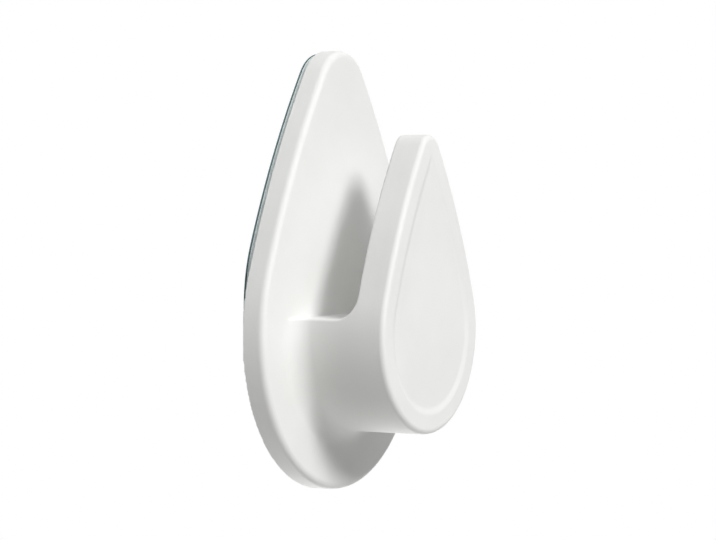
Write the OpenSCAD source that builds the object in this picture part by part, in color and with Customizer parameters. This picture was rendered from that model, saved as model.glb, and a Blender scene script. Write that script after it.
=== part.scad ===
// Adhesive wall hook: a teardrop base plate with a short hollow stem that carries a smaller
// teardrop in front, and a foam adhesive pad with its release liner behind the upper half.
// X is across the hook, -Y points out into the room and Z is up. The origin lies on the wall
// plane, at the middle of the pad.

/* [Base plate] */
// Height of the base plate
plate_h = 70; // [60:1:90]
// Radius of the round lower end of the base plate
plate_round_r = 25.5; // [22:0.5:28]
// Radius of the upper tip of the base plate
plate_tip_r = 7.8; // [5:0.1:11]
// Radius of the long side curves of the base plate
plate_side_r = 143; // [90:1:250]
// Thickness of the base plate
plate_t = 3.8; // [2.4:0.1:6]
// Rounding of the front edge of the base plate
plate_edge_r = 1.4; // [0.5:0.1:2]

/* [Front teardrop and stem] */
// Height of the front teardrop
front_h = 47.2; // [40:0.2:52]
// Radius of the round lower end of the front teardrop
front_round_r = 16; // [13:0.2:18]
// Radius of the upper tip of the front teardrop
front_tip_r = 3.3; // [2.8:0.1:6]
// Radius of the long side curves of the front teardrop
front_side_r = 105; // [70:1:200]
// Thickness of the front teardrop
front_t = 5.2; // [4:0.1:8]
// Rounding of the front edge of the front teardrop
front_edge_r = 1; // [0.5:0.1:2]
// Height of the stem above the lower end of the base plate
stem_lift = 9.4; // [6:0.2:12]
// Fillet where the stem grows out of the base plate
root_r = 3; // [1:0.1:4]

/* [Hanging slot] */
// Free space between the base plate and the front teardrop
slot_gap = 10.5; // [8:0.1:16]
// Height of the slot's floor above the lower end of the base plate
slot_floor = 28; // [24:0.2:32]
// Corner radius of the slot behind the front teardrop
slot_corner_r = 3.5; // [2:0.1:5]
// Corner radius of the slot at the base plate
slot_root_r = 0.8; // [0.4:0.1:3]

/* [Front recess] */
// Width of the border around the shallow recess in the front face
recess_border = 3.5; // [2:0.1:6]
// Depth of the recess
recess_depth = 0.4; // [0.2:0.05:0.8]
// Radius of the recess at its upper tip
recess_tip_r = 0.6; // [0.4:0.1:2]

/* [Hollow stem] */
// Wall around the two hollows in the stem
stem_wall = 2.2; // [1.6:0.1:3]
// Wall between the hollows and the front face
front_wall = 2.6; // [1.8:0.1:4]
// Thickness of the upright rib between the hollows
rib_t = 1.6; // [1.2:0.1:3]

/* [Adhesive pad] */
// Height of the pad's straight lower edge above the lower end of the base plate
pad_edge = 27.9; // [26:0.1:40]
// How far the pad's sides stay inside the base plate's outline
pad_inset = 0.1; // [0.1:0.1:2]
// How much smaller the pad's lower radius is than the base plate's
pad_turn_in = 1.5; // [0.5:0.1:4]
// Thickness of the foam carrier
foam_t = 0.65; // [0.4:0.05:2]
// Thickness of the adhesive film on each side of the foam
film_t = 0.1; // [0.05:0.01:0.2]
// Thickness of the release liner
liner_t = 0.15; // [0.08:0.01:0.3]

/* [Hidden] */
$fn = 96;

// How far cuts run past the faces that they open
overrun = 1;
// How far round ends stand proud of the side curves, so that the curves cross and don't just touch
seam_lift = 0.02;
// How far neighbouring arcs of a rounded plate run into each other
seam_overlap = 0.2;

// Depths are measured from the wall towards the room.
film_wall_back = liner_t;
foam_back = film_wall_back + film_t;
film_hook_back = foam_back + foam_t;
plate_back = film_hook_back + film_t;
plate_front = plate_back + plate_t;
slot_front = plate_front + slot_gap;
hook_front = slot_front + front_t;

// A teardrop outline is [height of its lower end, lower radius, tip radius, side radius, tip height].
// Heights are measured from the lower end of the base plate.
plate_shape = [0, plate_round_r, plate_tip_r, plate_side_r, plate_h];
front_shape = [stem_lift, front_round_r, front_tip_r, front_side_r, stem_lift + front_h];
recess_shape = inner_shape(front_shape, recess_border, front_round_r - recess_border, recess_tip_r);
hollow_shape = inner_shape(front_shape, stem_wall, front_round_r - stem_wall, front_tip_r / 2);
pad_shape = inner_shape(plate_shape, pad_inset, plate_round_r - pad_turn_in, plate_tip_r - pad_inset);

hollow_top = slot_floor - stem_wall;
// Height of the middle of the pad, where the origin lies
pad_middle = (pad_edge + pad_shape[4]) / 2;

// Centres of the lower arc, the tip and the right-hand side arc of an outline
function round_center(shape) = [0, shape[0] + shape[1]];
function tip_center(shape) = [0, shape[4] - shape[2]];
function side_center(shape) =
    let (rise = tip_center(shape).y - round_center(shape).y,
         to_round = shape[3] - shape[1],
         to_tip = shape[3] - shape[2],
         height = (to_round * to_round - to_tip * to_tip + rise * rise) / (2 * rise))
    [-sqrt(to_round * to_round - height * height), round_center(shape).y + height];

// Height at which an arc of radius r touches the inside of a side arc from the middle line
function touching_height(center, side_r, r) = center.y + sqrt(pow(side_r - r, 2) - pow(center.x, 2));

// The outline with its sides moved inwards, and with its own lower and tip radius
function inner_shape(shape, border, round_r, tip_r) =
    let (center = side_center(shape), side_r = shape[3] - border)
    [touching_height(center, side_r, round_r) - round_r,
     round_r,
     tip_r,
     side_r,
     touching_height(center, side_r, tip_r) + tip_r];

// Stands a shape that is drawn flat upright, at a depth from the wall
module upright(depth) {
    translate([0, -depth, -pad_middle])
        rotate([90, 0, 0])
            children();
}

function unit(v) = v / norm(v);
function heading(from, to) = atan2(to.y - from.y, to.x - from.x);

// Teardrop outline: two round ends, and between them the parts of the side circles that bound it
module teardrop(shape) {
    low = round_center(shape);
    tip = tip_center(shape);
    center = side_center(shape);
    reach = 2 * shape[3];
    translate(low)
        circle(shape[1] + seam_lift);
    translate(tip)
        circle(shape[2] + seam_lift);
    for (side = [0, 1])
        mirror([side, 0])
            intersection() {
                translate(center)
                    circle(shape[3]);
                polygon([low, center + reach * unit(low - center), center + reach * unit(tip - center), tip]);
            }
}

// Half section of a round plate with its front edge rounded
module plate_section(r, t, edge_r) {
    square([r - edge_r, t]);
    square([r, t - edge_r]);
    translate([r - edge_r, t - edge_r])
        circle(edge_r);
}

// Sector of a round plate, which runs a little past both of its ends
module plate_sector(center, r, from_angle, to_angle, t, edge_r) {
    past = seam_overlap / r * 180 / PI;
    translate(center)
        rotate([0, 0, from_angle - past])
            rotate_extrude(angle = to_angle - from_angle + 2 * past)
                plate_section(r, t, edge_r);
}

// Teardrop plate with its front edge rounded: a sector for each arc of the outline, faced off flat
module teardrop_plate(shape, t, edge_r) {
    low = round_center(shape);
    tip = tip_center(shape);
    center = side_center(shape);
    low_angle = heading(center, low);
    tip_angle = heading(center, tip);
    crest = t + seam_lift;
    intersection() {
        union() {
            plate_sector(low, shape[1] + seam_lift, -180 - low_angle, low_angle, crest, edge_r);
            plate_sector(tip, shape[2] + seam_lift, tip_angle, 180 - tip_angle, crest, edge_r);
            for (side = [0, 1])
                mirror([side, 0, 0])
                    intersection() {
                        plate_sector(center, shape[3], low_angle, tip_angle, crest, edge_r);
                        translate([-seam_overlap, shape[0], -overrun])
                            cube([shape[3], shape[3], crest + 2 * overrun]);
                    }
        }
        translate([-shape[3], shape[0] - overrun, 0])
            cube([2 * shape[3], 2 * shape[3], t]);
    }
}

// Half section of the fillet around the foot of the stem, sunk into what it joins
module root_section() {
    difference() {
        translate([front_round_r - root_r, -plate_t / 2])
            square([2 * root_r, plate_t / 2 + root_r]);
        translate([front_round_r + root_r, root_r])
            circle(root_r);
    }
}

// Slot seen from the side, with its depth along the first axis and its height along the second
module slot_section() {
    height = front_shape[4] - slot_floor + overrun;
    corner = slot_gap - slot_corner_r;
    translate([slot_root_r, 0])
        square([corner - slot_root_r, height]);
    translate([0, slot_root_r])
        square([slot_root_r, height - slot_root_r]);
    translate([corner, slot_corner_r])
        square([slot_corner_r, height - slot_corner_r]);
    translate([slot_root_r, slot_root_r])
        circle(slot_root_r);
    translate([corner, slot_corner_r])
        circle(slot_corner_r);
}

// Space that a loop or a towel hangs in, open at the top and on both sides
module slot() {
    translate([plate_h / 2, -plate_front, slot_floor - pad_middle])
        rotate([90, 0, -90])
            linear_extrude(plate_h)
                slot_section();
}

// One of the two hollows in the stem, open at the back
module hollow() {
    upright(plate_back - overrun)
        linear_extrude(hook_front - front_wall - plate_back + overrun)
            intersection() {
                teardrop(hollow_shape);
                translate([rib_t / 2, 0])
                    square([plate_h, hollow_top]);
            }
}

// Moulded body: base plate, hollow stem and front teardrop in one piece
module hook_body() {
    color("whitesmoke")
        difference() {
            union() {
                upright(plate_back)
                    teardrop_plate(plate_shape, plate_t, plate_edge_r);
                difference() {
                    union() {
                        upright(plate_back)
                            teardrop_plate(front_shape, hook_front - plate_back, front_edge_r);
                        upright(plate_front)
                            translate(round_center(front_shape))
                                rotate_extrude()
                                    root_section();
                    }
                    slot();
                }
            }
            upright(hook_front - recess_depth)
                linear_extrude(recess_depth + overrun)
                    teardrop(recess_shape);
            for (side = [0, 1])
                mirror([side, 0, 0])
                    hollow();
        }
}

// One layer of the pad, cut straight at its lower edge
module pad_layer(back, t) {
    upright(back)
        linear_extrude(t)
            intersection() {
                teardrop(pad_shape);
                translate([-plate_h / 2, pad_edge])
                    square(plate_h);
            }
}

// Adhesive film that holds the foam to the base plate
module adhesive_hook_side() {
    color("lightgray")
        pad_layer(film_hook_back, film_t);
}

// Soft core of the pad, which evens out the wall
module foam_carrier() {
    color("gainsboro")
        pad_layer(foam_back, foam_t);
}

// Adhesive film that holds the foam to the wall
module adhesive_wall_side() {
    color("lightgray")
        pad_layer(film_wall_back, film_t);
}

// Film that covers the adhesive until the hook is put up
module release_liner() {
    color("darkslategray")
        pad_layer(0, liner_t);
}

hook_body();
adhesive_hook_side();
foam_carrier();
adhesive_wall_side();
release_liner();
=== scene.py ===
import math

import bpy
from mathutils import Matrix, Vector


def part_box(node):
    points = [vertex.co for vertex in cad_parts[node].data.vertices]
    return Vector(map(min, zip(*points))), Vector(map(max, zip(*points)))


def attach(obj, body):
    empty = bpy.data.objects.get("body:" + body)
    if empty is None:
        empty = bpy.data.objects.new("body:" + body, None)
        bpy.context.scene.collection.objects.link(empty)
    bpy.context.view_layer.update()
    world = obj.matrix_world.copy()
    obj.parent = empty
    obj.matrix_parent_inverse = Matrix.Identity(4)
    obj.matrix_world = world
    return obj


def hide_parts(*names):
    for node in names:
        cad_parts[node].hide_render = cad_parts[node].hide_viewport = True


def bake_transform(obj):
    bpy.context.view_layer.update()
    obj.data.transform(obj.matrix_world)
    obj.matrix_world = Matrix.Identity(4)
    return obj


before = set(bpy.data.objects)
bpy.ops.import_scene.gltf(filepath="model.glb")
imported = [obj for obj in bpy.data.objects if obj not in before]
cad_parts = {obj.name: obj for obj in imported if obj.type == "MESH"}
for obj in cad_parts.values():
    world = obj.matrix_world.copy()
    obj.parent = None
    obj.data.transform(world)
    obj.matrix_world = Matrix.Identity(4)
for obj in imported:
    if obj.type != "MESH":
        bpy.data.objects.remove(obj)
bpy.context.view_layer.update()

mm = 0.001  # sizes are written in millimetres, Blender works in metres
print("frame loaded:", len(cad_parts), "nodes")


def linearColor(hexColor):
    # the curve of the sRGB standard, with full opacity
    channels = [int(hexColor[k:k + 2], 16) / 255 for k in (1, 3, 5)]
    return [c / 12.92 if c <= 0.04045 else ((c + 0.055) / 1.055) ** 2.4 for c in channels] + [1.0]


def addNode(tree, kind, *inputs, stops=(), **settings):
    # inputs are nodes, sockets or plain values in socket order, or one dictionary by socket name,
    # and stops are a colour ramp's pairs of a level and a hex colour
    node = tree.nodes.new(kind)
    for name, value in settings.items():
        setattr(node, name, value)
    for index, (level, hexColor) in enumerate(stops):
        node.color_ramp.elements[index].position = level
        node.color_ramp.elements[index].color = linearColor(hexColor)
    named = inputs[0] if inputs and isinstance(inputs[0], dict) else dict(enumerate(inputs))
    for key, value in named.items():
        if isinstance(value, bpy.types.Node):
            value = value.outputs[0]
        if isinstance(value, bpy.types.NodeSocket):
            tree.links.new(value, node.inputs[key])
        else:
            node.inputs[key].default_value = value
    return node


def newShader(name):
    material = bpy.data.materials.new(name)
    material.use_nodes = True
    tree = material.node_tree
    tree.nodes.clear()
    place = addNode(tree, "ShaderNodeTexCoord").outputs["Object"]
    return material, tree, place


def finishShader(tree, color, roughness, ior, relief, reliefDepth):
    # each finish ends in a fine relief and the surface itself
    bump = addNode(tree, "ShaderNodeBump", {"Height": relief, "Distance": reliefDepth * mm})
    shader = addNode(tree, "ShaderNodeBsdfPrincipled", {
        "Base Color": color, "Roughness": roughness, "IOR": ior, "Normal": bump})
    addNode(tree, "ShaderNodeOutputMaterial", shader)


# ABS, injection moulded in a lightly spark-eroded tool: an even satin white, with a grain that only
# breaks up the highlights, and a very faint clouding where the melt flowed.
whiteAbs = {
    "shades": ((0.35, "#EEEEEC"), (0.65, "#F2F2F1")),
    "cloudSize": 14.0,
    "cloudDetail": 3.0,
    "grainSize": 0.45,  # the real grain is about 0.05 mm, drawn coarser so that it shows
    "grainDepth": 0.004,
    "grainLevels": (0.3, 0.7),
    "roughness": (0.53, 0.62),  # at the two levels of the grain
    "ior": 1.53,
}


def makeWhiteAbs(look):
    material, tree, place = newShader("mouldedAbs")
    cloud = addNode(tree, "ShaderNodeTexNoise", {
        "Vector": place, "Scale": 1 / (look["cloudSize"] * mm), "Detail": look["cloudDetail"]})
    color = addNode(tree, "ShaderNodeValToRGB", cloud, stops=look["shades"])
    grain = addNode(tree, "ShaderNodeTexNoise", {"Vector": place, "Scale": 1 / (look["grainSize"] * mm)})
    roughness = addNode(tree, "ShaderNodeMapRange", grain, *look["grainLevels"], *look["roughness"])
    finishShader(tree, color, roughness, look["ior"], grain, look["grainDepth"])
    return material


# Acrylic adhesive, cast as a thin clear film: milky over the foam, glossy and a little rippled.
acrylicFilm = {
    "shades": ((0.3, "#CDD7D5"), (0.7, "#DDE5E3")),
    "rippleSize": 1.8,
    "rippleDetail": 4.0,
    "rippleDepth": 0.012,
    "roughness": 0.2,
    "ior": 1.47,
}


def makeAcrylicFilm(look):
    material, tree, place = newShader("acrylicAdhesive")
    ripple = addNode(tree, "ShaderNodeTexNoise", {
        "Vector": place, "Scale": 1 / (look["rippleSize"] * mm), "Detail": look["rippleDetail"]})
    color = addNode(tree, "ShaderNodeValToRGB", ripple, stops=look["shades"])
    finishShader(tree, color, look["roughness"], look["ior"], ripple, look["rippleDepth"])
    return material


# Polyethylene foam, closed cells cut through at the edge: matt, faintly speckled by its cells.
foamWithPaintedLight = {
    # painted light: these shades are much paler than the grey foam, to light up its rim, which lies in
    # shade
    "shades": ((0.1, "#D2DFDE"), (0.6, "#E6F0EF")),
    "cellSize": 0.3,  # the real cells are about 0.15 mm, drawn coarser so that they show
    "cellDepth": 0.05,
    "roughness": 0.9,
    "ior": 1.5,
}


def makeFoamSheet(look):
    material, tree, place = newShader("polyethyleneFoam")
    cells = addNode(tree, "ShaderNodeTexVoronoi", {"Vector": place, "Scale": 1 / (look["cellSize"] * mm)})
    color = addNode(tree, "ShaderNodeValToRGB", cells, stops=look["shades"])
    finishShader(tree, color, look["roughness"], look["ior"], cells, look["cellDepth"])
    return material


# Polyester film with a silicone coat, rolled: deep grey-teal and smooth, with long soft streaks and
# small dents.
linerFilm = {
    "shades": ((0.35, "#415E62"), (0.65, "#4C6A6E")),
    "streakSize": 6.0,
    "streakStretch": 0.15,  # scale of the pattern along the film's length
    "streakDetail": 5.0,
    "dentSize": 2.6,
    "dentDepth": 0.02,
    "roughness": 0.32,
    "ior": 1.57,
}


def makeLinerFilm(look):
    material, tree, place = newShader("polyesterFilm")
    stretch = (1.0, 1.0, look["streakStretch"])
    along = addNode(tree, "ShaderNodeMapping", {"Vector": place, "Scale": stretch})
    streak = addNode(tree, "ShaderNodeTexNoise", {
        "Vector": along, "Scale": 1 / (look["streakSize"] * mm), "Detail": look["streakDetail"]})
    color = addNode(tree, "ShaderNodeValToRGB", streak, stops=look["shades"])
    dent = addNode(tree, "ShaderNodeTexNoise", {"Vector": place, "Scale": 1 / (look["dentSize"] * mm)})
    finishShader(tree, color, look["roughness"], look["ior"], dent, look["dentDepth"])
    return material


finishes = {
    "white_abs": makeWhiteAbs(whiteAbs),
    "acrylic_adhesive": makeAcrylicFilm(acrylicFilm),
    "pale_foam": makeFoamSheet(foamWithPaintedLight),
    "liner_film": makeLinerFilm(linerFilm),
}
print("materials made:", ", ".join(material.name for material in finishes.values()))


def newTree(name, inputs, outputs):
    # inputs and outputs map a socket's name to its kind
    tree = bpy.data.node_groups.new(name, "GeometryNodeTree")
    for direction, sockets in (("INPUT", inputs), ("OUTPUT", outputs)):
        for socketName, kind in sockets.items():
            tree.interface.new_socket(socketName, in_out=direction, socket_type="NodeSocket" + kind)
    return tree, addNode(tree, "NodeGroupInput").outputs


def finishTree(tree, geometry, scale, finish):
    # from millimetres to the scene's metres, as one real mesh with its material
    scales = addNode(tree, "ShaderNodeCombineXYZ", scale, scale, scale)
    sized = addNode(tree, "GeometryNodeTransform", {"Geometry": geometry, "Scale": scales})
    real = addNode(tree, "GeometryNodeRealizeInstances", sized)
    painted = addNode(tree, "GeometryNodeSetMaterial", {"Geometry": real, "Material": finish})
    addNode(tree, "NodeGroupOutput", painted)


def meshFromTree(name, tree, values):
    # runs a tree on an empty object and keeps the result as a plain mesh
    piece = bpy.data.objects.new(name, bpy.data.meshes.new(name))
    bpy.context.scene.collection.objects.link(piece)
    modifier = piece.modifiers.new("build", "NODES")
    modifier.node_group = tree
    for item in tree.interface.items_tree:
        if item.item_type == "SOCKET" and item.in_out == "INPUT":
            modifier[item.identifier] = values[item.name]
    graph = bpy.context.evaluated_depsgraph_get()
    built = piece.evaluated_get(graph)
    made = bpy.data.meshes.new_from_object(built, preserve_all_data_layers=True, depsgraph=graph)
    piece.modifiers.remove(modifier)
    piece.data = made
    made.name = name
    print(name, "made:", len(made.polygons), "faces")
    return piece


def makeRoundEdge():
    # distance to what two shapes share, with the edge between them rounded
    inputs = dict.fromkeys(("first", "second", "radius"), "Float")
    tree, given = newTree("roundEdge", inputs, {"distance": "Float"})
    inside = addNode(tree, "ShaderNodeMath", given["radius"], -1.0, operation="MULTIPLY")
    reaches = []
    for shape in ("first", "second"):
        raised = addNode(tree, "ShaderNodeMath", given[shape], given["radius"], operation="ADD")
        reaches.append(addNode(tree, "ShaderNodeMath", raised, 0.0, operation="MAXIMUM"))
    corner = addNode(tree, "ShaderNodeCombineXYZ", *reaches)
    reach = addNode(tree, "ShaderNodeVectorMath", corner, operation="LENGTH").outputs["Value"]
    larger = addNode(tree, "ShaderNodeMath", given["first"], given["second"], operation="MAXIMUM")
    flat = addNode(tree, "ShaderNodeMath", larger, inside, operation="MINIMUM")
    addNode(tree, "NodeGroupOutput", addNode(tree, "ShaderNodeMath", flat, reach, operation="ADD"))
    return tree


# What a teardrop outline is drawn from. In the sizes, the part's name stands in front of each.
teardropSizes = ("LowEnd", "TopEnd", "RoundRadius", "TipRadius", "SideRadius")


def makeArcMiddles():
    # where a teardrop's round ends, and the long arc of its right-hand side, have their middles
    outputs = dict.fromkeys(("roundHeight", "tipHeight", "sideAcross", "sideHeight"), "Float")
    tree, given = newTree("arcMiddles", dict.fromkeys(teardropSizes, "Float"), outputs)
    roundHeight = addNode(tree, "ShaderNodeMath", given["LowEnd"], given["RoundRadius"], operation="ADD")
    tipHeight = addNode(tree, "ShaderNodeMath", given["TopEnd"], given["TipRadius"], operation="SUBTRACT")
    rise = addNode(tree, "ShaderNodeMath", tipHeight, roundHeight, operation="SUBTRACT")
    # the side arc touches both round ends, so its middle lies this far from each of theirs
    squares = {}
    for end in ("Round", "Tip"):
        radius = given[end + "Radius"]
        away = addNode(tree, "ShaderNodeMath", given["SideRadius"], radius, operation="SUBTRACT")
        squares[end] = addNode(tree, "ShaderNodeMath", away, away, operation="MULTIPLY")
    difference = addNode(tree, "ShaderNodeMath", squares["Round"], squares["Tip"], operation="SUBTRACT")
    lean = addNode(tree, "ShaderNodeMath", difference, rise, operation="DIVIDE")
    climbTwice = addNode(tree, "ShaderNodeMath", lean, rise, operation="ADD")
    climb = addNode(tree, "ShaderNodeMath", climbTwice, 0.5, operation="MULTIPLY")
    climbSquare = addNode(tree, "ShaderNodeMath", climb, climb, operation="MULTIPLY")
    acrossSquare = addNode(tree, "ShaderNodeMath", squares["Round"], climbSquare, operation="SUBTRACT")
    across = addNode(tree, "ShaderNodeMath", acrossSquare, operation="SQRT")
    sideAcross = addNode(tree, "ShaderNodeMath", across, -1.0, operation="MULTIPLY")
    sideHeight = addNode(tree, "ShaderNodeMath", roundHeight, climb, operation="ADD")
    addNode(tree, "NodeGroupOutput", roundHeight, tipHeight, sideAcross, sideHeight)
    return tree


def makeTeardropDistance(arcMiddles):
    # distance to a teardrop outline: a round lower end, a tip, and two long arcs that touch both
    inputs = dict.fromkeys(("across", "height") + teardropSizes, "Float")
    tree, given = newTree("teardropDistance", inputs, {"distance": "Float"})
    half = addNode(tree, "ShaderNodeMath", given["across"], operation="ABSOLUTE")
    point = addNode(tree, "ShaderNodeCombineXYZ", half, 0.0, given["height"])
    sizes = {name: given[name] for name in teardropSizes}
    places = addNode(tree, "GeometryNodeGroup", sizes, node_tree=arcMiddles).outputs
    middles = {
        "Round": addNode(tree, "ShaderNodeCombineXYZ", 0.0, 0.0, places["roundHeight"]),
        "Tip": addNode(tree, "ShaderNodeCombineXYZ", 0.0, 0.0, places["tipHeight"]),
        "Side": addNode(tree, "ShaderNodeCombineXYZ", places["sideAcross"], 0.0, places["sideHeight"]),
    }
    distances = {}
    for arc, middle in middles.items():
        away = addNode(tree, "ShaderNodeVectorMath", point, middle, operation="DISTANCE").outputs["Value"]
        distances[arc] = addNode(tree, "ShaderNodeMath", away, given[arc + "Radius"], operation="SUBTRACT")
    # past the lines from the side arc's middle through the other two, a round end is nearer
    fromSide = addNode(tree, "ShaderNodeVectorMath", point, middles["Side"], operation="SUBTRACT")
    limits = {}
    for end in ("Round", "Tip"):
        limits[end] = addNode(
            tree, "ShaderNodeVectorMath", middles[end], middles["Side"], operation="SUBTRACT")
    nearest = distances["Side"]
    for end, turn in (("Round", (limits["Round"], fromSide)), ("Tip", (fromSide, limits["Tip"]))):
        side = addNode(tree, "ShaderNodeVectorMath", *turn, operation="CROSS_PRODUCT")
        past = addNode(tree, "ShaderNodeSeparateXYZ", side).outputs["Y"]
        nearest = addNode(tree, "GeometryNodeSwitch", past, nearest, distances[end], input_type="FLOAT")
    addNode(tree, "NodeGroupOutput", nearest)
    return tree


# Sizes of the moulding in millimetres, in the frame's heights and in depths from the wall towards the room
hookSizes = {
    "plateLowEnd": -48.9,
    "plateTopEnd": 21.1,
    "plateRoundRadius": 25.5,
    "plateTipRadius": 7.8,
    "plateSideRadius": 143.0,
    "plateBack": 1.0,
    "plateFront": 4.8,
    "plateEdgeRadius": 1.0,
    "backEdgeRadius": 0.1,
    "frontLowEnd": -39.5,
    "frontTopEnd": 7.7,
    "frontRoundRadius": 16.0,
    "frontTipRadius": 3.3,
    "frontSideRadius": 105.0,
    "frontFace": 20.5,
    "frontEdgeRadius": 0.85,
    "rootRadius": 3.0,
    "slotFront": 15.3,
    "slotFloor": -20.9,
    "slotCornerRadius": 3.5,
    "slotRootRadius": 0.2,
    "slotEdgeRadius": 0.25,
    "recessBorder": 2.9,
    "recessSlope": 1.4,
    "recessDepth": 0.3,
    "hollowWall": 2.2,
    "hollowTop": -23.1,
    "hollowDepth": 17.9,
    "hollowCornerRadius": 0.8,
    "hollowDraft": 0.015,
    "ribThickness": 1.6,
}
# How the moulding's surface is drawn. A margin of two whole cells puts a layer of samples just inside
# the flat back, which keeps the edge there sharp.
hookMesh = {
    "cell": 0.35,
    "marginCells": 2,
    "outsideLevel": -1.0,  # level of the volume around its cells, as in air
    "probe": 0.02,  # step over which the slope of the distance is read
    "settleSteps": 3,  # how often the points are moved onto the surface
}


def makeHookDistance(roundEdge, teardropDistance):
    # distance to the surface of the whole moulding, negative inside the plastic
    inputs = {"point": "Vector", **dict.fromkeys(hookSizes, "Float")}
    tree, given = newTree("hookDistance", inputs, {"distance": "Float"})
    place = addNode(tree, "ShaderNodeSeparateXYZ", given["point"]).outputs
    depth = addNode(tree, "ShaderNodeMath", place["Y"], -1.0, operation="MULTIPLY")
    outlines = {}
    for part in ("plate", "front"):
        sizes = {name: given[part + name] for name in teardropSizes}
        sizes.update(across=place["X"], height=place["Z"])
        outlines[part] = addNode(tree, "GeometryNodeGroup", sizes, node_tree=teardropDistance)
    # base plate with its rounded front edge
    plateFace = addNode(tree, "ShaderNodeMath", depth, given["plateFront"], operation="SUBTRACT")
    plate = addNode(
        tree, "GeometryNodeGroup", outlines["plate"], plateFace, given["plateEdgeRadius"],
        node_tree=roundEdge)
    # front teardrop, whose face sinks a little inside a border
    recessStart = addNode(tree, "ShaderNodeMath", given["recessBorder"], -1.0, operation="MULTIPLY")
    recessEnd = addNode(tree, "ShaderNodeMath", recessStart, given["recessSlope"], operation="SUBTRACT")
    sink = addNode(
        tree, "ShaderNodeMapRange", outlines["front"], recessStart, recessEnd, 0.0, given["recessDepth"],
        interpolation_type="SMOOTHSTEP")
    flatFace = addNode(tree, "ShaderNodeMath", depth, given["frontFace"], operation="SUBTRACT")
    frontFace = addNode(tree, "ShaderNodeMath", flatFace, sink, operation="ADD")
    front = addNode(
        tree, "GeometryNodeGroup", outlines["front"], frontFace, given["frontEdgeRadius"],
        node_tree=roundEdge)
    # its stem grows out of the plate with a fillet: a rounded edge, seen from the air around them
    airs = [addNode(tree, "ShaderNodeMath", solid, -1.0, operation="MULTIPLY") for solid in (plate, front)]
    air = addNode(tree, "GeometryNodeGroup", *airs, given["rootRadius"], node_tree=roundEdge)
    body = addNode(tree, "ShaderNodeMath", air, -1.0, operation="MULTIPLY")
    # the slot between them, with round corners, and with softened edges that run out at the plate
    slotWall = addNode(tree, "ShaderNodeMath", depth, given["slotFront"], operation="SUBTRACT")
    slotFloor = addNode(tree, "ShaderNodeMath", given["slotFloor"], place["Z"], operation="SUBTRACT")
    slotBack = addNode(tree, "ShaderNodeMath", given["plateFront"], depth, operation="SUBTRACT")
    slot = addNode(
        tree, "GeometryNodeGroup", slotWall, slotFloor, given["slotCornerRadius"], node_tree=roundEdge)
    slot = addNode(tree, "GeometryNodeGroup", slot, slotBack, given["slotRootRadius"], node_tree=roundEdge)
    outsideSlot = addNode(tree, "ShaderNodeMath", slot, -1.0, operation="MULTIPLY")
    softEnd = addNode(tree, "ShaderNodeMath", given["plateFront"], given["slotRootRadius"], operation="ADD")
    soft = addNode(
        tree, "ShaderNodeMapRange", depth, given["plateFront"], softEnd, 0.0, given["slotEdgeRadius"])
    body = addNode(tree, "GeometryNodeGroup", body, outsideSlot, soft, node_tree=roundEdge)
    # two hollows in the stem, open at the back, with a rib between them
    behind = addNode(tree, "ShaderNodeMath", depth, given["plateBack"], operation="SUBTRACT")
    taper = addNode(tree, "ShaderNodeMath", behind, given["hollowDraft"], operation="MULTIPLY")
    wall = addNode(tree, "ShaderNodeMath", given["hollowWall"], taper, operation="ADD")
    hollow = addNode(tree, "ShaderNodeMath", outlines["front"], wall, operation="ADD")
    halfRib = addNode(tree, "ShaderNodeMath", given["ribThickness"], 0.5, taper, operation="MULTIPLY_ADD")
    fromMiddle = addNode(tree, "ShaderNodeMath", place["X"], operation="ABSOLUTE")
    limits = [
        addNode(tree, "ShaderNodeMath", halfRib, fromMiddle, operation="SUBTRACT"),
        addNode(tree, "ShaderNodeMath", place["Z"], given["hollowTop"], operation="SUBTRACT"),
        addNode(tree, "ShaderNodeMath", depth, given["hollowDepth"], operation="SUBTRACT"),
    ]
    for limit in limits:
        hollow = addNode(
            tree, "GeometryNodeGroup", hollow, limit, given["hollowCornerRadius"], node_tree=roundEdge)
    outsideHollow = addNode(tree, "ShaderNodeMath", hollow, -1.0, operation="MULTIPLY")
    # they and the flat back have almost sharp edges
    back = addNode(tree, "ShaderNodeMath", behind, -1.0, operation="MULTIPLY")
    for limit in (outsideHollow, back):
        body = addNode(tree, "GeometryNodeGroup", body, limit, given["backEdgeRadius"], node_tree=roundEdge)
    addNode(tree, "NodeGroupOutput", body)
    return tree


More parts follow.
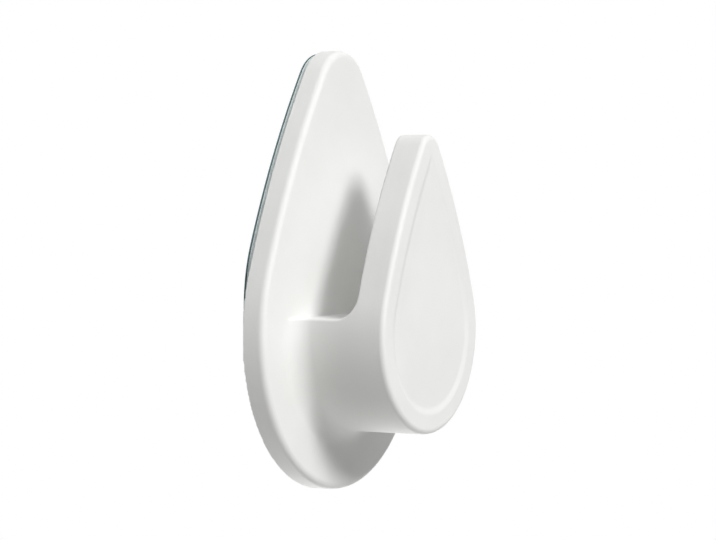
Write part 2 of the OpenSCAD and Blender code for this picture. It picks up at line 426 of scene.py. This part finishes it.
def makeHookTree(hookDistance):
    inputs = dict.fromkeys((*hookSizes, "outsideLevel", "probe", "scale"), "Float")
    inputs.update(dict.fromkeys(("cellsAcross", "cellsDeep", "cellsUp"), "Int"))
    inputs.update(low="Vector", high="Vector", finish="Material")
    tree, given = newTree("hookBody", inputs, {"piece": "Geometry"})
    here = addNode(tree, "GeometryNodeInputPosition")
    steps = [addNode(tree, "ShaderNodeCombineXYZ", {axis: given["probe"]}) for axis in "XYZ"]
    points = [here] + [addNode(tree, "ShaderNodeVectorMath", here, step, operation="ADD") for step in steps]
    sizes = {name: given[name] for name in hookSizes}
    gaps = []
    for point in points:
        gaps.append(addNode(tree, "GeometryNodeGroup", {"point": point, **sizes}, node_tree=hookDistance))
    inside = addNode(tree, "ShaderNodeMath", gaps[0], -1.0, operation="MULTIPLY")
    volume = addNode(tree, "GeometryNodeVolumeCube", {
        "Density": inside,
        "Background": given["outsideLevel"],
        "Min": given["low"],
        "Max": given["high"],
        "Resolution X": given["cellsAcross"],
        "Resolution Y": given["cellsDeep"],
        "Resolution Z": given["cellsUp"],
    })
    mesh = addNode(tree, "GeometryNodeVolumeToMesh", {"Volume": volume, "Threshold": 0.0})
    # move the points onto the surface, and give them its own normals
    rises = [addNode(tree, "ShaderNodeMath", gap, gaps[0], operation="SUBTRACT") for gap in gaps[1:]]
    slope = addNode(tree, "ShaderNodeCombineXYZ", *rises)
    outward = addNode(tree, "ShaderNodeVectorMath", slope, operation="NORMALIZE")
    shift = addNode(tree, "ShaderNodeVectorMath", {"Vector": outward, "Scale": inside}, operation="SCALE")
    for repeat in range(hookMesh["settleSteps"]):
        mesh = addNode(tree, "GeometryNodeSetPosition", {"Geometry": mesh, "Offset": shift})
    smooth = addNode(tree, "GeometryNodeSetShadeSmooth", mesh)
    shaded = addNode(tree, "GeometryNodeSetMeshNormal", {"Mesh": smooth}, mode="FREE", domain="POINT")
    tree.links.new(outward.outputs[0], shaded.inputs["Custom Normal"])
    finishTree(tree, shaded, given["scale"], given["finish"])
    return tree


def makeHookBody(teardropDistance):
    tree = makeHookTree(makeHookDistance(makeRoundEdge(), teardropDistance))
    margin = Vector((hookMesh["marginCells"] * hookMesh["cell"],) * 3)
    low, high = [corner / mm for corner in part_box("hook_body")]
    low, high = low - margin, high + margin
    cells = [round(extent / hookMesh["cell"]) for extent in high - low]
    values = dict(hookSizes, **hookMesh, low=low, high=high, scale=mm, finish=finishes["white_abs"])
    values.update(zip(("cellsAcross", "cellsDeep", "cellsUp"), cells))
    body = meshFromTree("hookBody", tree, values)
    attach(body, "hook")
    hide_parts("hook_body")


arcMiddles = makeArcMiddles()
makeHookBody(makeTeardropDistance(arcMiddles))

# The pad's layers share one outline, which follows the plate's side arcs and is cut straight below.
# Sizes are in millimetres.
padOutline = {
    "edgeGap": 0.4,
    "tipRadius": 7.4,
    "roundRadius": 23.35,
    "cutHeight": -21.0,
    "rows": 90,
    "columns": 25,
    "wanderSize": 1.5,
    "weld": 0.002,  # points closer than this become one, around the rim and at the tip
    "creaseAngle": 1.0,  # in radians, above which an edge stays sharp
}
# Wander is the share by which the cut edge strays inwards, in a way of its own for each seed.
padLayers = {
    "releaseLiner": {
        "node": "release_liner", "slot": "liner_film",
        "inset": 0.0, "wander": 0.0005, "seed": 1.0},
    "wallAdhesive": {
        "node": "adhesive_wall_side", "slot": "acrylic_adhesive",
        "inset": 0.25, "wander": 0.004, "seed": 2.0},
    "foamCarrier": {
        "node": "foam_carrier", "slot": "pale_foam",
        "inset": 0.08, "wander": 0.003, "seed": 3.0},
    "hookAdhesive": {
        "node": "adhesive_hook_side", "slot": "acrylic_adhesive",
        "inset": 0.08, "wander": 0.004, "seed": 4.0},
}


def makeArcWidth():
    # how far an arc stands from the hook's middle line at a height
    inputs = dict.fromkeys(("height", "radius", "middleHeight", "middleAcross"), "Float")
    tree, given = newTree("arcWidth", inputs, {"width": "Float"})
    above = addNode(tree, "ShaderNodeMath", given["height"], given["middleHeight"], operation="SUBTRACT")
    aboveSquare = addNode(tree, "ShaderNodeMath", above, above, operation="MULTIPLY")
    radiusSquare = addNode(tree, "ShaderNodeMath", given["radius"], given["radius"], operation="MULTIPLY")
    difference = addNode(tree, "ShaderNodeMath", radiusSquare, aboveSquare, operation="SUBTRACT")
    square = addNode(tree, "ShaderNodeMath", difference, 0.0, operation="MAXIMUM")
    reach = addNode(tree, "ShaderNodeMath", square, operation="SQRT")
    width = addNode(tree, "ShaderNodeMath", reach, given["middleAcross"], operation="ADD")
    addNode(tree, "NodeGroupOutput", width)
    return tree


def makePadTree(arcMiddles, arcWidth):
    inputs = dict.fromkeys(["plate" + name for name in teardropSizes], "Float")
    inputs.update(dict.fromkeys((
        "edgeGap", "tipRadius", "roundRadius", "cutHeight", "inset", "wander", "wanderSize", "seed",
        "depth", "thickness", "weld", "creaseAngle", "scale"), "Float"))
    inputs.update(rows="Int", columns="Int", finish="Material")
    tree, given = newTree("padLayer", inputs, {"piece": "Geometry"})
    plate = {name: given["plate" + name] for name in teardropSizes}
    places = addNode(tree, "GeometryNodeGroup", plate, node_tree=arcMiddles).outputs
    sideAcross, sideHeight = places["sideAcross"], places["sideHeight"]
    sideRadius = addNode(
        tree, "ShaderNodeMath", given["plateSideRadius"], given["edgeGap"], operation="SUBTRACT")
    outer = {"side": sideRadius, "tip": given["tipRadius"], "round": given["roundRadius"]}
    radii = {}
    for arc, radius in outer.items():
        radii[arc] = addNode(tree, "ShaderNodeMath", radius, given["inset"], operation="SUBTRACT")
    acrossSquare = addNode(tree, "ShaderNodeMath", sideAcross, sideAcross, operation="MULTIPLY")
    heights = {}
    turns = {}
    for end in ("tip", "round"):
        # where the round end's middle lies, and the height at which it goes over into the side arc
        reach = addNode(tree, "ShaderNodeMath", radii["side"], radii[end], operation="SUBTRACT")
        reachSquare = addNode(tree, "ShaderNodeMath", reach, reach, operation="MULTIPLY")
        climbSquare = addNode(tree, "ShaderNodeMath", reachSquare, acrossSquare, operation="SUBTRACT")
        climb = addNode(tree, "ShaderNodeMath", climbSquare, operation="SQRT")
        heights[end] = addNode(tree, "ShaderNodeMath", sideHeight, climb, operation="ADD")
        share = addNode(tree, "ShaderNodeMath", radii["side"], reach, operation="DIVIDE")
        turns[end] = addNode(tree, "ShaderNodeMath", climb, share, sideHeight, operation="MULTIPLY_ADD")
    # a flat grid, two wide and one long, is drawn out to the outline, with its rows closer towards the tip
    grid = addNode(tree, "GeometryNodeMeshGrid", 2.0, 1.0, given["columns"], given["rows"])
    place = addNode(tree, "ShaderNodeSeparateXYZ", addNode(tree, "GeometryNodeInputPosition")).outputs
    down = addNode(tree, "ShaderNodeMath", place["Y"], 0.5, operation="ADD")
    downSquare = addNode(tree, "ShaderNodeMath", down, down, operation="MULTIPLY")
    top = addNode(tree, "ShaderNodeMath", heights["tip"], radii["tip"], operation="ADD")
    fall = addNode(tree, "ShaderNodeMath", given["cutHeight"], top, operation="SUBTRACT")
    height = addNode(tree, "ShaderNodeMath", downSquare, fall, top, operation="MULTIPLY_ADD")
    middles = {
        "side": (sideHeight, sideAcross),
        "tip": (heights["tip"], 0.0),
        "round": (heights["round"], 0.0),
    }
    widths = {}
    for arc, middle in middles.items():
        widths[arc] = addNode(tree, "GeometryNodeGroup", height, radii[arc], *middle, node_tree=arcWidth)
    inTip = addNode(tree, "ShaderNodeMath", height, turns["tip"], operation="GREATER_THAN")
    inRound = addNode(tree, "ShaderNodeMath", height, turns["round"], operation="LESS_THAN")
    width = addNode(tree, "GeometryNodeSwitch", inTip, widths["side"], widths["tip"], input_type="FLOAT")
    width = addNode(tree, "GeometryNodeSwitch", inRound, width, widths["round"], input_type="FLOAT")
    # the cut edge strays a little, on each side in its own way
    side = addNode(tree, "ShaderNodeMath", place["X"], operation="SIGN")
    along = addNode(tree, "ShaderNodeMath", height, given["wanderSize"], operation="DIVIDE")
    spot = addNode(tree, "ShaderNodeCombineXYZ", side, given["seed"], along)
    noise = addNode(tree, "ShaderNodeTexNoise", {"Vector": spot, "Scale": 1.0})
    stray = addNode(tree, "ShaderNodeMath", noise, given["wander"], operation="MULTIPLY")
    kept = addNode(tree, "ShaderNodeMath", 1.0, stray, operation="SUBTRACT")
    half = addNode(tree, "ShaderNodeMath", width, kept, operation="MULTIPLY")
    across = addNode(tree, "ShaderNodeMath", place["X"], half, operation="MULTIPLY")
    back = addNode(tree, "ShaderNodeMath", given["depth"], -1.0, operation="MULTIPLY")
    spread = addNode(tree, "ShaderNodeCombineXYZ", across, back, height)
    wallFace = addNode(tree, "GeometryNodeSetPosition", {"Geometry": grid, "Position": spread})
    # the layer's other face and its rim
    turned = addNode(tree, "GeometryNodeFlipFaces", wallFace)
    toRoom = addNode(tree, "ShaderNodeMath", given["thickness"], -1.0, operation="MULTIPLY")
    offset = addNode(tree, "ShaderNodeCombineXYZ", 0.0, toRoom, 0.0)
    roomFace = addNode(tree, "GeometryNodeExtrudeMesh", {
        "Mesh": turned, "Offset": offset, "Individual": False})
    both = addNode(tree, "GeometryNodeJoinGeometry", roomFace)
    tree.links.new(wallFace.outputs[0], both.inputs[0])
    whole = addNode(tree, "GeometryNodeMergeByDistance", {"Geometry": both, "Distance": given["weld"]})
    smooth = addNode(tree, "GeometryNodeSetShadeSmooth", whole, domain="FACE")
    angle = addNode(tree, "GeometryNodeInputMeshEdgeAngle")
    sharp = addNode(tree, "ShaderNodeMath", angle, given["creaseAngle"], operation="GREATER_THAN")
    creased = addNode(tree, "GeometryNodeSetShadeSmooth", {
        "Geometry": smooth, "Selection": sharp, "Shade Smooth": False}, domain="EDGE")
    finishTree(tree, creased, given["scale"], given["finish"])
    return tree


def makePad(arcMiddles):
    tree = makePadTree(arcMiddles, makeArcWidth())
    for name, layer in padLayers.items():
        low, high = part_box(layer["node"])
        values = {**hookSizes, **padOutline, **layer, "scale": mm, "finish": finishes[layer["slot"]]}
        values.update(depth=-high.y / mm, thickness=(high.y - low.y) / mm)
        piece = meshFromTree(name, tree, values)
        if name == "releaseLiner":
            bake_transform(piece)
        else:
            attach(piece, "hook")
        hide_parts(layer["node"])


makePad(arcMiddles)

# Camera at the photograph's place: the angles, distance and lens come from fitting the outline.
photoView = {
    "azimuth": -61.09,
    "elevation": 1.99,
    "distance": 471.9,
    "target": (-10.46, -13.0, -13.38),
    "lens": 152.5,
    "sensor": 36.0,
    "clipStart": 10.0,
}


def viewDirection(azimuth, elevation):
    # towards the viewer; at azimuth 0 they stand in front of the hook
    around, up = math.radians(azimuth), math.radians(elevation)
    return Vector((math.sin(around) * math.cos(up), -math.cos(around) * math.cos(up), math.sin(up)))


def makeCamera(view):
    camera = bpy.data.objects.new("photoCamera", bpy.data.cameras.new("photoCamera"))
    bpy.context.scene.collection.objects.link(camera)
    back = viewDirection(view["azimuth"], view["elevation"])
    camera.location = (Vector(view["target"]) + back * view["distance"]) * mm
    camera.rotation_euler = (-back).to_track_quat("-Z", "Y").to_euler()
    camera.data.lens = view["lens"]
    camera.data.sensor_width = view["sensor"]
    camera.data.clip_start = view["clipStart"] * mm
    bpy.context.scene.camera = camera


makeCamera(photoView)

white = linearColor("#FFFFFF")


def seenRays(tree):
    # 1 for what the camera sees, also in gloss or through something clear, and 0 for the light on the hook
    path = addNode(tree, "ShaderNodeLightPath").outputs
    seen = path["Is Camera Ray"]
    for ray in ("Is Transmission Ray", "Is Glossy Ray"):
        seen = addNode(tree, "ShaderNodeMath", seen, path[ray], operation="MAXIMUM")
    return seen


# A pale floor below the hook, which hangs on no wall here. Away from the hook it goes over into the
# white room.
paleFloor = {
    "color": "#E8E8E6",
    "height": -450.0,
    "side": 2000.0,
    "fadeStart": 110.0,
    "fadeEnd": 330.0,
}


def makeFloor(look):
    material, tree, place = newShader("paleFloor")
    # how far a spot lies from below the hook, along the floor
    flat = addNode(tree, "ShaderNodeMapping", {"Vector": place, "Scale": (1.0, 1.0, 0.0)})
    away = addNode(tree, "ShaderNodeVectorMath", flat, operation="LENGTH").outputs["Value"]
    far = addNode(
        tree, "ShaderNodeMapRange", away, look["fadeStart"] * mm, look["fadeEnd"] * mm,
        interpolation_type="SMOOTHSTEP")
    faded = addNode(tree, "ShaderNodeMath", seenRays(tree), far, operation="MULTIPLY")
    matt = addNode(tree, "ShaderNodeBsdfDiffuse", {"Color": linearColor(look["color"])})
    glow = addNode(tree, "ShaderNodeEmission", {"Color": white, "Strength": 1.0})
    mixed = addNode(tree, "ShaderNodeMixShader", faded, matt, glow)
    addNode(tree, "ShaderNodeOutputMaterial", mixed)
    half = look["side"] * mm / 2
    corners = [(x * half, y * half, look["height"] * mm) for x, y in ((-1, -1), (1, -1), (1, 1), (-1, 1))]
    mesh = bpy.data.meshes.new("paleFloor")
    mesh.from_pydata(corners, [], [(0, 1, 2, 3)])
    mesh.materials.append(material)
    floor = bpy.data.objects.new("paleFloor", mesh)
    bpy.context.scene.collection.objects.link(floor)


makeFloor(paleFloor)

# Soft studio light: each lamp is a square softbox that faces the hook. Lengths are in millimetres,
# angles in degrees and powers in watts.
lamps = {
    "keySoftbox": {"azimuth": -21, "elevation": 33, "distance": 4000, "side": 1130, "power": 114.0},
    "frontFill": {"azimuth": 0, "elevation": 33, "distance": 500, "side": 300, "power": 0.36},
    "topSoftbox": {"azimuth": -5, "elevation": 70, "distance": 1200, "side": 340, "power": 0.7},
    "leftFill": {"azimuth": -60, "elevation": 45, "distance": 700, "side": 450, "power": 0.62},
    "rightFill": {"azimuth": 50, "elevation": 45, "distance": 700, "side": 450, "power": 0.37},
    "backFill": {"azimuth": -160, "elevation": 45, "distance": 700, "side": 450, "power": 1.35},
    "lowRightFill": {"azimuth": 115, "elevation": -40, "distance": 400, "side": 250, "power": 0.4},
    "lowBackFill": {"azimuth": -160, "elevation": -30, "distance": 400, "side": 250, "power": 0.34},
}
roomLight = 0.046  # strength of the even light from all around


def makeLamp(name, lamp):
    light = bpy.data.lights.new(name, "AREA")
    light.shape = "SQUARE"
    light.size = lamp["side"] * mm
    light.energy = lamp["power"]
    holder = bpy.data.objects.new(name, light)
    bpy.context.scene.collection.objects.link(holder)
    toward = viewDirection(lamp["azimuth"], lamp["elevation"])
    holder.location = (Vector(photoView["target"]) + toward * lamp["distance"]) * mm
    holder.rotation_euler = toward.to_track_quat("Z", "Y").to_euler()
    holder.visible_camera = False


def makeRoom(strength):
    # the camera sees a white room, and the hook gets its soft light
    world = bpy.data.worlds.new("paleRoom")
    bpy.context.scene.world = world
    world.use_nodes = True
    tree = world.node_tree
    tree.nodes.clear()
    light = addNode(tree, "ShaderNodeBackground", {"Color": white, "Strength": strength})
    backdrop = addNode(tree, "ShaderNodeBackground", {"Color": white, "Strength": 1.0})
    mixed = addNode(tree, "ShaderNodeMixShader", seenRays(tree), light, backdrop)
    addNode(tree, "ShaderNodeOutputWorld", mixed)


for lampName, lampLook in lamps.items():
    makeLamp(lampName, lampLook)
makeRoom(roomLight)
bpy.context.scene.view_settings.view_transform = "Standard"
print("camera, lamps and room made")
